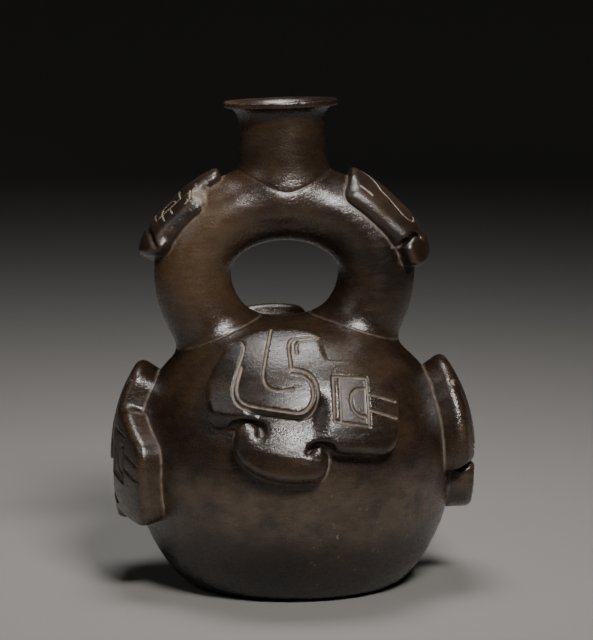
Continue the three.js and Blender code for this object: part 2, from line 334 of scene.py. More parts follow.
def move_to(mesh, points):
    mesh.vertices.foreach_set("co", points.astype(np.float32).ravel())
    mesh.update()


def normals_of(mesh):
    flat = np.empty(len(mesh.vertices) * 3, np.float32)
    mesh.vertex_normals.foreach_get("vector", flat)
    return flat.reshape(-1, 3).astype(float)


def marked(mesh, name, values):
    attribute = mesh.attributes.get(name) or mesh.attributes.new(name, "FLOAT", "POINT")
    attribute.data.foreach_set("value", np.clip(values, 0, 1).astype(np.float32))


def added(name, bm):
    """A new object from a finished bmesh."""
    mesh = bpy.data.meshes.new(name)
    bm.to_mesh(mesh)
    bm.free()
    piece = bpy.data.objects.new(name, mesh)
    bpy.context.scene.collection.objects.link(piece)
    return piece


def finished(piece):
    """Takes the piece's modifiers into its mesh."""
    shown = piece.evaluated_get(bpy.context.evaluated_depsgraph_get())
    mesh = bpy.data.meshes.new_from_object(shown)
    old = piece.data
    piece.modifiers.clear()
    piece.data = mesh
    mesh.name = piece.name
    bpy.data.meshes.remove(old)
    return piece


def cut(piece, tool, how):
    step = piece.modifiers.new(how, "BOOLEAN")
    step.operation = how
    step.solver = "MANIFOLD"
    step.object = tool
    finished(piece)
    bpy.data.objects.remove(tool)
    return piece


def kneaded(piece, cell):
    """The piece as one skin of even cells."""
    step = piece.modifiers.new("cells", "REMESH")
    step.mode = "VOXEL"
    step.voxel_size = cell
    return finished(piece)


def spun(name, section, steps):
    """A half-section turned round the axis into a closed solid."""
    bm = bmesh.new()
    corners = [bm.verts.new((radius, 0, height)) for radius, height in section]
    edges = [bm.edges.new(pair) for pair in zip(corners[:-1], corners[1:])]
    bmesh.ops.spin(
        bm, geom=corners + edges, cent=(0, 0, 0), axis=(0, 0, 1), dvec=(0, 0, 0),
        angle=math.tau, steps=steps, use_merge=True,
    )
    bmesh.ops.remove_doubles(bm, verts=bm.verts, dist=1e-4)
    bmesh.ops.recalc_face_normals(bm, faces=bm.faces)
    return added(name, bm)


def stirrup_tube(name, inset, sides, stations):
    """A straight tube bent along the stirrup's line."""
    bm = bmesh.new()
    bmesh.ops.create_cone(
        bm, cap_ends=True, segments=sides, radius1=1, radius2=1, depth=1,
        matrix=Matrix.Translation((0, 0, 0.5)),
    )
    upright = [e for e in bm.edges if abs(e.verts[0].co.z - e.verts[1].co.z) > 0.5]
    bmesh.ops.subdivide_edges(bm, edges=upright, cuts=stations, use_grid_fill=True)
    lengths = np.concatenate([[0], np.cumsum(np.hypot(*np.diff(RING_LINE, axis=0).T))])
    runs = np.gradient(RING_LINE, lengths, axis=0)
    for vert in bm.verts:
        at = vert.co.z * lengths[-1]
        middle = [np.interp(at, lengths, RING_LINE[:, i]) for i in (0, 1)]
        run = np.array([np.interp(at, lengths, runs[:, i]) for i in (0, 1)])
        outward = np.array([-run[1], run[0]]) / math.hypot(*run)
        thick = (TUBE_HALF_THICKNESS - inset) * vert.co.x
        deep = (TUBE_HALF_DEPTH - inset) * vert.co.y
        vert.co = (middle[0] + outward[0] * thick, deep, middle[1] + outward[1] * thick)
    bmesh.ops.recalc_face_normals(bm, faces=bm.faces)
    return added(name, bm)


SPOUT_PLACE = Matrix.Translation((SPOUT_X, 0, SPOUT_FOOT_Z)) @ Matrix.Rotation(SPOUT_LEAN, 4, "Y")


def placed(piece, place):
    piece.data.transform(place)
    return piece


# ---------------------------------------------------------------- the body

def soft_least(a, b, radius):
    overlap = np.maximum(radius - np.abs(a - b), 0) / radius
    return np.minimum(a, b) - overlap * overlap * radius / 4


def to_belly(points):
    return signed(np.stack([np.hypot(points[:, 0], points[:, 1]), points[:, 2]], 1), BELLY_SECTION)


def to_ring(points):
    in_plane, _ = nearest(points[:, [0, 2]], RING_LINE)
    deep = points[:, 1]
    level = np.sqrt((in_plane / TUBE_HALF_THICKNESS) ** 2 + (deep / TUBE_HALF_DEPTH) ** 2)
    slope = np.hypot(in_plane / TUBE_HALF_THICKNESS ** 2, deep / TUBE_HALF_DEPTH ** 2)
    return (level - 1) * level / np.maximum(slope, 1e-6)


def spout_terms(points):
    local = points @ np.array(SPOUT_PLACE.inverted().to_3x3()).T
    local += np.array(SPOUT_PLACE.inverted().translation)
    section = np.stack([np.hypot(local[:, 0], local[:, 1]), local[:, 2]], 1)
    return signed(section, SPOUT_SECTION), signed(section, BORE_SECTION)


BELLY_SECTION = belly_section()
SPOUT_SECTION = spout_section()
BORE_SECTION = bore_section()

# Between these heights the stirrup is alone.
BELLY_ENDS_BY = 150
SPOUT_STARTS_AFTER = 175


def to_body(points):
    """Distance to the body's skin, its joints drawn together softly."""
    low = points[:, 2] < BELLY_ENDS_BY
    high = points[:, 2] > SPOUT_STARTS_AFTER
    skin = to_ring(points)
    skin[low] = soft_least(skin[low], to_belly(points[low]), ARM_FILLET)
    spout, bore = spout_terms(points[high])
    joined = soft_least(skin[high], spout, SPOUT_FILLET)
    skin[high] = -soft_least(-joined, bore, MOUTH_EASING)
    return skin


def drawn_to(points, distance, rounds):
    """Moves points onto the skin that a distance describes, at most 1 mm a round."""
    step = 0.02
    for _ in range(rounds):
        here = distance(points)
        rises = [distance(points + step * np.eye(3)[i]) - here for i in range(3)]
        slope = np.stack(rises, 1) / step
        size = np.maximum((slope * slope).sum(1), 0.05)
        move = -here[:, None] * slope / size[:, None]
        length = np.sqrt((move * move).sum(1))
        points = points + move * np.minimum(1, 1 / np.maximum(length, 1e-9))[:, None]
    return points


def hand(points, size, seed):
    """Slow unevenness left by the hand, between -1 and 1."""
    shift = Vector((seed * 7.3, seed * 3.1, seed * 5.7))
    return np.array([noise.noise(Vector(p) / size + shift) for p in points])


def softened(mesh, rounds):
    """Evens out the marks that the cells leave."""
    bm = bmesh.new()
    bm.from_mesh(mesh)
    for _ in range(rounds):
        bmesh.ops.smooth_vert(
            bm, verts=bm.verts, factor=0.5, use_axis_x=True, use_axis_y=True, use_axis_z=True,
        )
    bm.to_mesh(mesh)
    bm.free()


def divided(mesh, chosen):
    """Halves the cells whose corners are chosen."""
    bm = bmesh.new()
    bm.from_mesh(mesh)
    bm.verts.ensure_lookup_table()
    picked = [e for e in bm.edges if chosen[e.verts[0].index] and chosen[e.verts[1].index]]
    bmesh.ops.subdivide_edges(bm, edges=picked, cuts=1, use_grid_fill=True)
    bm.to_mesh(mesh)
    bm.free()


def slab_outline(foot_right):
    return drawn(
        (-43.4, 25.8),
        (-46.2, 26, -46.8, 30),
        (-48.2, 44, -39.2, 60),
        (-36, 67, -29.5, 70),
        (-22, 80, -8, 80),
        (10, 80, 10.5, 68),
        (12, 59.5),
        (20.5, 58.5),
        (31, 53, 39, 48),
        (45, 44, 45, 34),
        (44.5, foot_right + 9),
        (43, foot_right, 34, foot_right),
        (22, foot_right + 1.5),
        (14, foot_right + 2, 10.8, foot_right + 3),
        (11.8, 2.6, 3, 1.6),
        (-5, 0.6, -13, 1.8),
        (-34.5, 6.6, -34.4, 20),
        (-33, 25.9),
    )


def plaque_outline():
    return drawn(
        (-24, 17.4),
        (-28, 38, -26, 54),
        (-25.5, 59.5, -19, 60),
        (3, 60),
        (10, 60, 10, 54),
        (10.5, 49),
        (15, 47.5),
        (21.5, 45.5, 21, 38),
        (18.8, 17),
        (18.4, 11.2, 14.4, 10.6),
        (12.4, 8.4, 8, 7.8),
        (-6, 5.9),
        (-13, 3.6),
        (-20.6, 2.2, -21.8, 7.6),
        (-22.6, 14.6),
    )


LEFT_SLOT = drawn(
    (-37, 26.2),
    (-33.5, 28.4),
    (-30, 29.9, -26, 30),
    (-17.6, 31, -17.4, 26),
    (-17.8, 22.4, -20.6, 22.6),
    (-21.4, 23.4),
    (-20.6, 28.7, -24.6, 28.7),
    (-27.6, 28.6, -29.6, 26.8),
    (-33, 24.4),
    (-37, 24.4),
)
RIGHT_SLOT = drawn(
    (0, 15.4),
    (-0.6, 21.2, 6.4, 22.4, 10.8, 17.5),
    (15, 15),
    (12, 14),
    (10.2, 15.6),
    (8.4, 19, 2.6, 19, 1.3, 15.2),
)
PLAQUE_SLOT = drawn(
    (-29, 18.2),
    (-16.2, 19.6),
    (-10.6, 20, -9.8, 15.4),
    (-11.6, 14.8),
    (-12.6, 18.2, -16.6, 17.6),
    (-25, 14.6),
    (-29, 14),
)

HOOK_EDGE = drawn(
    (-32, 66),
    (-29, 69.5, -25, 67.5, -26.3, 61),
    (-31, 45),
    (-33, 37, -29, 34.6, -24, 33.8),
    (-4, 31.2),
    (3, 30.6, 6.2, 38, 5.2, 43.5),
    (4.4, 50.5, 0, 53, -5.6, 53.2),
    (-6, 64),
    (-6, 70.8, 0, 71),
    (7.5, 71.2),
)
SLAB_LINES = [
    HOOK_EDGE,
    drawn(
        (-27, 53),
        (-29.2, 45.4),
        (-30.2, 38.6, -27.6, 36.6, -22.6, 35.6),
        (-4, 32.9),
        (1.4, 32.8, 3.6, 39, 3.3, 42.6),
        (2.6, 48.6, -1, 50.6, -5.6, 50.4),
    ),
    drawn((-2.6, 61), (-3.2, 68, -0.4, 68.2), (6.4, 69.2)),
    drawn((-12.9, 77), (-17.6, 51), (-18.2, 44, -15, 42.6, -10, 42.6), (-5.4, 43.6)),
    drawn((12, 29.2), (27.6, 26), (27.5, 47), (12.2, 48.8), (12, 29.2)),
    drawn((14.9, 29.2), (15, 48)),
    drawn((26.6, 42.6), (23.5, 42.6), (18.4, 42.6, 17.6, 31.4, 26, 30.2)),
    drawn((28, 39.9), (41, 35.4)),
    drawn((28, 33), (41, 28.4)),
]
EYE_PANEL = drawn((15, 29.4), (27, 26.8), (27, 46.6), (15.2, 48))
PLAQUE_LINES = [
    drawn((2, 57.5), (-10.6, 43.9), (-12.8, 30.2), (-13.1, 23.6, -8.6, 23.4), (-6.6, 24.6)),
    drawn((-16.6, 54.3), (-17.6, 47)),
    drawn((-3.4, 25.3), (7.2, 23.6), (8.9, 38.2), (-0.8, 39.8), (-3.4, 25.3)),
    drawn((8.4, 35.4), (6.4, 35.6), (2.6, 34.6, 2.2, 28.4, 7.6, 27)),
    drawn((8.6, 31.4), (12.6, 30.8)),
    drawn((7.8, 27), (11.8, 26)),
    drawn((9.4, 44), (13.8, 41.6), (14.2, 38.4)),
]
PLAQUE_VALLEY = drawn((-4, 19.4), (8.4, 17.8), (14, 14.6), (18.4, 11.2))

# Each slab's bearing in degrees from the front, how far down the wall it is shifted, how far
# it stands proud, its width and height against the drawing, and its foot's right end.
SLABS = [
    ("front_slab", 0, 0, SLAB_PROUD, 1, 1, FOOT_RIGHT),
    ("right_slab", 92, 26.5, SIDE_SLAB_PROUD, 0.82, SIDE_SLAB_TALL, FOOT_RIGHT),
    ("back_slab", 180, -3, SLAB_PROUD, -1, 1, FOOT_RIGHT),
    ("left_slab", -90, 30, SIDE_SLAB_PROUD, 1, SIDE_SLAB_TALL, FOOT_RIGHT_LEFT_SLAB),
]


def flat_on_belly(points, azimuth, drop, across, tall):
    """Where points on the belly lie in a slab's flat drawing."""
    radius = np.hypot(points[:, 0], points[:, 1])
    turn = np.arctan2(points[:, 0], -points[:, 1]) - math.radians(azimuth)
    turn = (turn + math.pi) % math.tau - math.pi
    length = np.interp(points[:, 2], WALL[:, 1], WALL_LENGTHS)
    return np.stack([turn * radius / across, (length - GIRTH_LENGTH + drop) / tall], 1)


def near_slabs(points):
    """Distance to the nearest slab's foot, on the belly."""
    best = np.full(len(points), FAR)
    for _, azimuth, drop, _, across, tall, foot_right in SLABS:
        flat = flat_on_belly(points, azimuth, drop, across, tall)
        distance, _ = nearest(flat, closed(slab_outline(foot_right)))
        best = np.minimum(best, distance)
    return np.where(points[:, 2] < GIRTH_HEIGHT + CROWN_RISE - 1, best, FAR)


def spout_joint(points):
    """Height at which the spout's foot meets the stirrup, round the spout."""
    turn = np.arctan2(points[:, 1], points[:, 0] - SPOUT_X)
    share = (SPOUT_X - RING_X + SPOUT_RADIUS * np.cos(turn)) / RING_HALF_WIDTH
    level = np.sqrt(1 - share * share)
    deep = SPOUT_RADIUS * np.sin(turn) / TUBE_HALF_DEPTH
    steep = RING_RISE / RING_HALF_WIDTH * share / level
    thick = TUBE_HALF_THICKNESS * np.sqrt(1 - deep * deep) * np.hypot(1, steep)
    return RING_Z + RING_RISE * level + thick


def near_joints(points):
    """How far off the lines where stirrup meets belly and spout meets stirrup."""
    ring, belly = to_ring(points), to_belly(points)
    off = np.where(ring + belly < JOINT_REACH, np.abs(ring - belly), FAR)
    beside = np.hypot(points[:, 0] - SPOUT_X, points[:, 1]) < SPOUT_RADIUS + SPOUT_JOINT_REACH
    high = beside & (points[:, 2] > SPOUT_FOOT_Z)
    off[high] = np.abs(points[high, 2] - spout_joint(points[high]))
    return off


def near_plaques(points):
    """Distance to the nearest plaque's foot, on the outside of the stirrup."""
    angles = np.linspace(0, math.pi, 241)
    middles, ways = ring_middle(angles), ring_outward(angles)
    best = np.full(len(points), FAR)
    aside = np.abs(points[:, 0] - RING_X) > PLAQUES_CLEAR_MIDDLE_BY
    ring = (np.abs(points[:, 1]) < TUBE_HALF_DEPTH) & (points[:, 2] > RING_Z)
    chosen = np.flatnonzero(ring & aside)
    for part in np.array_split(chosen, SHARES):  # spares memory
        flat = points[part][:, [0, 2]]
        off = flat[:, None, :] - middles
        along = off[..., 0] * ways[:, 1] - off[..., 1] * ways[:, 0]
        out = (off * ways).sum(-1)
        station = np.where(out > 0, np.abs(along), FAR).argmin(1)
        angle = angles[station]
        right = angle < math.pi / 2
        side = np.where(right, 1, -1)
        wrap = np.arcsin(np.clip(side * points[part, 1] / TUBE_HALF_DEPTH, -1, 1)) * TUBE_HALF_DEPTH
        up = np.where(right, angle, math.pi - angle) * PLAQUE_REACH
        distance, _ = nearest(np.stack([wrap, up], 1), closed(plaque_outline()))
        best[part] = np.where(out[np.arange(len(part)), station] > 0, distance, FAR)
    return best


def body():
    shell = spun("vessel_body", BELLY_SECTION, ROUND_SIDES)
    cut(shell, stirrup_tube("tube", 0, 64, 110), "UNION")
    cut(shell, placed(spun("spout", SPOUT_SECTION, 72), SPOUT_PLACE), "UNION")
    cut(shell, placed(spun("bore", BORE_SECTION, 72), SPOUT_PLACE), "DIFFERENCE")
    kneaded(shell, BODY_CELL)
    move_to(shell.data, drawn_to(coordinates(shell.data), to_body, 3))
    softened(shell.data, 1)
    move_to(shell.data, drawn_to(coordinates(shell.data), to_body, 2))
    for reach in FINE_REACHES:
        points = coordinates(shell.data)
        seams = np.minimum(near_slabs(points), np.minimum(near_joints(points), near_plaques(points)))
        lip = points[:, 2] > SPOUT_FOOT_Z + SPOUT_HEIGHT - reach * 2.5
        divided(shell.data, (seams < reach) | lip)
    move_to(shell.data, drawn_to(coordinates(shell.data), to_body, 1))
    points = coordinates(shell.data)
    joint = 1 - eased(near_joints(points), *JOINT_WIDTH)
    standing = eased(points[:, 2], *FOOT_SPARED)
    sunk = JOINT_DEPTH * joint + HAND_DEPTH * standing * (1 + hand(points, HAND_SPAN, seed=3))
    move_to(shell.data, points - normals_of(shell.data) * sunk[:, None])
    hollow = spun("hollow", hollow_section(), 48)
    cut(hollow, stirrup_tube("tube_bore", TUBE_WALL, 32, 60), "UNION")
    cut(shell, hollow, "DIFFERENCE")
    mark_body(shell.data)
    return shell


def hollow_section():
    runs = np.gradient(WALL, WALL_LENGTHS, axis=0)
    radius = np.maximum(WALL[:, 0] - runs[:, 1] * BELLY_WALL, 0)
    height = np.maximum(WALL[:, 1] + runs[:, 0] * BELLY_WALL, BASE_WALL)
    inner = np.stack([radius, height], 1)[::4]
    inner = inner[inner[:, 0] > 1]
    return np.vstack([[0, BASE_WALL], inner, [0, GIRTH_HEIGHT + CROWN_RISE - BELLY_WALL]])


def mark_body(mesh):
    points = coordinates(mesh)
    seam = EARTH_AT_SLABS * (1 - eased(near_slabs(points), *EARTH_OFF_SLABS))
    plaque = EARTH_AT_PLAQUES * (1 - eased(near_plaques(points), *EARTH_OFF_PLAQUES))
    clinging = np.where(points[:, 2] < RING_Z, EARTH_AT_ARMS, EARTH_AT_SPOUT)
    joint = clinging * (1 - eased(near_joints(points), *EARTH_OFF_JOINTS))
    marked(mesh, "residue", np.maximum(np.maximum(seam, plaque), joint))
    marked(mesh, "edge", np.zeros(len(points)))
    marked(mesh, "rough", np.zeros(len(points)))


# ---------------------------------------------------------------- slabs and plaques

# A relief figure as drawn in the flat, and how its face is worked.
Figure = namedtuple("Figure", "outline slots lines groove_width cell edges dip hollow dull")


def flat_solid(name, outline, low, high):
    """A straight-sided block with the given outline."""
    bm = bmesh.new()
    face = bm.faces.new([bm.verts.new((x, y, low)) for x, y in outline])
    raised = bmesh.ops.extrude_face_region(bm, geom=[face])["geom"]
    tops = [v for v in raised if isinstance(v, bmesh.types.BMVert)]
    bmesh.ops.translate(bm, verts=tops, vec=(0, 0, high - low))
    bmesh.ops.recalc_face_normals(bm, faces=bm.faces)
    return added(name, bm)


def rounded_over(points, line, proud, radius):
    """Rounds the upper edge along a line: points slide towards it and sink, as round a
    quarter circle."""
    distance, way = nearest(points[:, :2], line)
    share = np.clip(distance / radius, 0, 1)
    turn = math.pi / 2 * (1 - share)
    slide = distance - radius * (1 - np.sin(turn))
    slide = np.where(distance < radius, slide, 0)
    lift = eased(points[:, 2], proud - 2.5, proud)
    drop = (points[:, 2] + SLAB_SUNK) / (proud + SLAB_SUNK) * radius * (1 - np.cos(turn))
    moved = points.copy()
    moved[:, :2] += way * (slide * lift / np.maximum(distance, 1e-6))[:, None]
    moved[:, 2] -= drop
    return moved


def leant(points, outline, proud, lean):
    """Leans the side walls inwards, more the higher they stand."""
    line = closed(outline)
    flat = points[:, :2]
    step = 0.2
    depth = -signed(flat, line)
    rises = [-signed(flat + step * np.eye(2)[i], line) - depth for i in range(2)]
    inward = np.stack(rises, 1) / step
    share = np.clip(points[:, 2] / proud, 0, 1) * (1 - eased(depth, 0, LEAN_REACH))
    moved = points.copy()
    moved[:, :2] += inward * (share * lean)[:, None]
    return moved


def slab_edges(points):
    """How wide the edges are rounded and how far the walls lean: crisp and leaning round
    the lower lobe, soft at the corner beside it."""
    x, y = points[:, 0], points[:, 1]
    lobe = (1 - eased(y, 20, 27)) * (1 - eased(x, 10, 14))
    off = (x - SOFT_CORNER[0]) ** 2 + (y - SOFT_CORNER[1]) ** 2
    corner = np.exp(-off / SOFT_CORNER_SPREAD ** 2)
    return tuple(all_over + at_lobe * lobe + at_corner * corner
                 for all_over, at_lobe, at_corner in (SLAB_ROUNDING, SLAB_LEAN))


def plaque_edges(points):
    """The long sides are rubbed down broadly to the tube, the ends less so."""
    x, y = points[:, 0], points[:, 1]
    side = eased(np.abs(x + 2.5), 9, 16) * eased(y, 13, 20)
    return tuple(at_ends + along * side for at_ends, along in (PLAQUE_ROUNDING, PLAQUE_LEAN))


def neck_depth(points):
    """The dip between a slab's two slots, deepest against the hook's lower edge."""
    x, y = points[:, 0], points[:, 1]
    lower_edge = HOOK_EDGE[(HOOK_EDGE[:, 1] < 44) & (HOOK_EDGE[:, 0] > -31)]
    below, _ = nearest(points[:, :2], lower_edge)
    below = np.where(within(points[:, :2], HOOK_EDGE), -below, below)
    reach = eased(x, -27, -20) * (1 - eased(x, 2, 13)) * (1 - eased(y, 35, 44))
    depth = NECK_DEPTH * np.clip(1 - below / NECK_RUN, 0, 1) + NECK_TILT * (x - NECK_MIDDLE)
    return np.maximum(depth, 0) * reach * eased(below, -1, 0.6) * eased(y, 9, 15)


def in_eye(points):
    return eased(-signed(points[:, :2], closed(EYE_PANEL)), 0, 0.8)


def in_valley(points):
    valley, _ = nearest(points[:, :2], PLAQUE_VALLEY)
    return 1 - eased(valley, 0, VALLEY_HALF_WIDTH)


def slab_figure(foot_right):
    return Figure(
        slab_outline(foot_right), [LEFT_SLOT, RIGHT_SLOT], SLAB_LINES, GROOVE_WIDTH, SLAB_CELL,
        edges=slab_edges,
        dip=neck_depth,
        hollow=lambda points: EYE_DEPTH * in_eye(points),
        dull=lambda points: EYE_DULLNESS * in_eye(points),
    )


def plaque_figure():
    return Figure(
        plaque_outline(), [PLAQUE_SLOT], PLAQUE_LINES, FINE_GROOVE_WIDTH, PLAQUE_CELL,
        edges=plaque_edges,
        dip=lambda points: np.zeros(len(points)),
        hollow=lambda points: VALLEY_DEPTH * in_valley(points),
        dull=lambda points: np.full(len(points), PLAQUE_DULLNESS),
    )


def carved(name, figure, proud):
    """A figure in the flat: block, slots, even cells, rounded edges, then incised lines."""
    piece = flat_solid(name, figure.outline, -SLAB_SUNK, proud)
    for slot in figure.slots:
        cut(piece, flat_solid("slot", slot, SLOT_FLOOR, proud + 2), "DIFFERENCE")
    kneaded(piece, figure.cell)
    points = coordinates(piece.data)
    radius, lean = figure.edges(points)
    points = rounded_over(points, closed(figure.outline), proud, radius)
    for slot in figure.slots:
        points = rounded_over(points, closed(slot), proud, SLOT_ROUNDING)
    points = leant(points, figure.outline, proud, lean)
    move_to(piece.data, points)
    softened(piece.data, SOFTENING_ROUNDS)
    points = coordinates(piece.data)
    points[:, 2] -= figure.dip(points) * np.clip(points[:, 2] / proud, 0, 1)
    move_to(piece.data, points)
    near_line = groove_distance(points, figure.lines) < LINE_MARGIN
    divided(piece.data, near_line & (points[:, 2] > proud * 0.4))
    points = coordinates(piece.data)
    half = figure.groove_width / 2
    on_top = eased(points[:, 2], proud * 0.2, proud * 0.45)
    depth = 1 - eased(groove_distance(points, figure.lines), half * 0.4, half * 1.3)
    depth = depth * on_top
    points[:, 2] -= GROOVE_DEPTH * depth * figure.groove_width / GROOVE_WIDTH
    points[:, 2] -= figure.hollow(points) * on_top
    move_to(piece.data, points)
    mark_figure(piece.data, figure, proud, depth)
    return piece


def mark_figure(mesh, figure, proud, depth):
    """Earth lies in the lines, the slots and the seam; a highlight is painted along the crest of the
    edge.
    """
    points = coordinates(mesh)
    radius, lean = figure.edges(points)
    outer, _ = nearest(points[:, :2], closed(figure.outline))
    foot = (1 - eased(points[:, 2], 0.2, 1.5)) * (outer < 2)
    slot_floor = np.zeros(len(points))
    for slot in figure.slots:
        inside = within(points[:, :2], slot)
        distance, _ = nearest(points[:, :2], closed(slot))
        slot_floor = np.maximum(slot_floor, np.where(inside, 1, 1 - eased(distance, 0.2, 1)))
    low = 1 - eased(points[:, 2], SLOT_FLOOR + 0.4, SLOT_FLOOR + 2.4)
    settled_earth = np.maximum(EARTH_AT_SLABS * foot, EARTH_IN_SLOTS * slot_floor * low)
    painted_crest_highlight = np.exp(-((outer - lean - radius * CREST_PLACE) / CREST_HIGHLIGHT_WIDTH) ** 2)
    marked(mesh, "residue", np.maximum(depth, settled_earth))
    # The edge mark is a painted highlight: a paler band along the upper crest of each edge.
    marked(mesh, "edge", painted_crest_highlight * eased(points[:, 2], proud * 0.55, proud * 0.85))
    marked(mesh, "rough", figure.dull(points))


def groove_distance(points, lines):
    best = np.full(len(points), FAR)
    for line in lines:
        distance, _ = nearest(points[:, :2], line)
        best = np.minimum(best, distance)
    return best


def on_belly(points, azimuth, drop, tall):
    length = points[:, 1] * tall - drop + GIRTH_LENGTH
    radius = np.interp(length, WALL_LENGTHS, WALL[:, 0])
    height = np.interp(length, WALL_LENGTHS, WALL[:, 1])
    runs = np.gradient(WALL, WALL_LENGTHS, axis=0)
    along_r = np.interp(length, WALL_LENGTHS, runs[:, 0])
    along_z = np.interp(length, WALL_LENGTHS, runs[:, 1])
    turn = math.radians(azimuth) + points[:, 0] / radius
    out = radius + points[:, 2] * along_z
    return np.stack([out * np.sin(turn), -out * np.cos(turn), height - points[:, 2] * along_r], 1)


def on_shoulder(points, side):
    up = points[:, 1] / PLAQUE_REACH
    angle = up if side > 0 else math.pi - up
    wrap = points[:, 0] / TUBE_HALF_DEPTH
    thinning = PLAQUE_THINNING * eased(points[:, 1], THINNING_FROM, THINNING_TO)
    proud = np.where(points[:, 2] > 0, points[:, 2] * (1 - thinning), points[:, 2])
    middle = ring_middle(angle)
    outward = ring_outward(angle)
    reach = ((TUBE_HALF_THICKNESS + proud) * np.cos(wrap))[:, None]
    laid = middle + outward * reach
    return np.stack([laid[:, 0], side * (TUBE_HALF_DEPTH + proud) * np.sin(wrap), laid[:, 1]], 1)


def turned_out(mesh):
    """Merged and with its faces outwards, after a mirrored drawing was bent."""
    bm = bmesh.new()
    bm.from_mesh(mesh)
    bmesh.ops.remove_doubles(bm, verts=bm.verts, dist=1e-4)
    bmesh.ops.recalc_face_normals(bm, faces=bm.faces)
    bm.to_mesh(mesh)
    bm.free()


def belly_slab(name, azimuth, drop, proud, across, tall, foot_right):
    piece = carved(name, slab_figure(foot_right), proud)
    points = coordinates(piece.data)
    points[:, 0] *= across
    move_to(piece.data, on_belly(points, azimuth, drop, tall))
    turned_out(piece.data)
    return piece


def shoulder_plaque(name, side):
    piece = carved(name, plaque_figure(), PLAQUE_PROUD)
    points = coordinates(piece.data)
    if side < 0:
        points = worn(piece.data, points)
    move_to(piece.data, on_shoulder(points, side))
    turned_out(piece.data)
    return piece


def worn(mesh, points):
    """The left plaque's upper end has weathered: the skin has gone in flakes."""
    off = (points[:, :2] - WORN_AT) / WORN_SPREAD
    spot = np.exp(-off[:, 0] ** 2 - off[:, 1] ** 2)
    broken = 0.5 * hand(points, FLAKE_SIZE, seed=5) + 0.3 * hand(points, CRUMB_SIZE, seed=8)
    flake = eased(broken + spot, 0.45, 0.7)
    marked(mesh, "rough", PLAQUE_DULLNESS + (1 - PLAQUE_DULLNESS) * flake)
    sunk = points.copy()
    sunk[:, 2] -= FLAKE_DEPTH * flake * eased(points[:, 2], 0, 2)
    return sunk


# ---------------------------------------------------------------- materials

def colour(code):
    """sRGB hex to linear."""
    parts = [int(code[i:i + 2], 16) / 255 for i in (1, 3, 5)]
    linear = [p / 12.92 if p <= 0.04045 else ((p + 0.055) / 1.055) ** 2.4 for p in parts]
    return (*linear, 1)


def add(tree, kind, settings=None, **links):
    """Adds a node and gives back its outputs. Settings are its own properties; links fill its
    inputs, called by their identifiers, with a value or another node's output."""
    made = tree.nodes.new("ShaderNode" + kind)
    for key, value in (settings or {}).items():
        setattr(made, key, value)
    sockets = {socket.identifier.replace(" ", "_"): socket for socket in made.inputs}
    for key, value in links.items():
        if isinstance(value, bpy.types.NodeSocket):
            tree.links.new(value, sockets[key])
        else:
            sockets[key].default_value = value
    return made.outputs


# Figures in the finish: width in millimetres, how broken up, and how much lower than wide.
# The clay's own grit is 0.1 to 0.3 mm and would not show, so the grain is drawn coarser.
FINISH = {
    "smoke_cloud": (52.63, 4, 1.4),
    "patch": (13.33, 5, 1.3),
    "pebble_stroke": (8.33, 3, 3.2),
    "grain": (0.769, 2, 1),
    "clinging_earth": (3.03, 4, 1),
    "scratch": (1.923, 2, 0.4),
}
PATTERN_ROUGHNESS = 0.6
STROKE_HEIGHT = 0.9
BUMP_HEIGHT = 0.24 * MM
BUMP_STRENGTH = 0.8
SMOKED_CLAY_IOR = 1.72

# Where the finish changes over the vessel, in metres to the right and up.
LEFT_PALE_FROM, LEFT_PALE_FULL = -0.012, -0.045
STIRRUP_FROM, STIRRUP_FULL = 0.125, 0.15
BAND = (0.028, 0.042, 0.054, 0.072)
FOOT_DARK_FROM, FOOT_DARK_FULL = 0.036, 0.014
SCRATCHED_BELOW, SCRATCHED_FULL = 0.075, 0.045

STRAIGHT = {"interpolation_type": "LINEAR"}
GENTLE = {"interpolation_type": "SMOOTHSTEP"}


def strength(tree, whole, *ranges):
    """How strongly a layer shows: the whole, times each range's value. A range says how it
    runs, what it reads, its two ends there, and its values at those ends."""
    for run, field, low, high, at_low, at_high in ranges:
        part = add(tree, "MapRange", run, Value=field, From_Min=low, From_Max=high,
                   To_Min=at_low, To_Max=at_high)[0]
        whole = add(tree, "Math", {"operation": "MULTIPLY"}, Value=whole, Value_001=part)[0]
    return whole


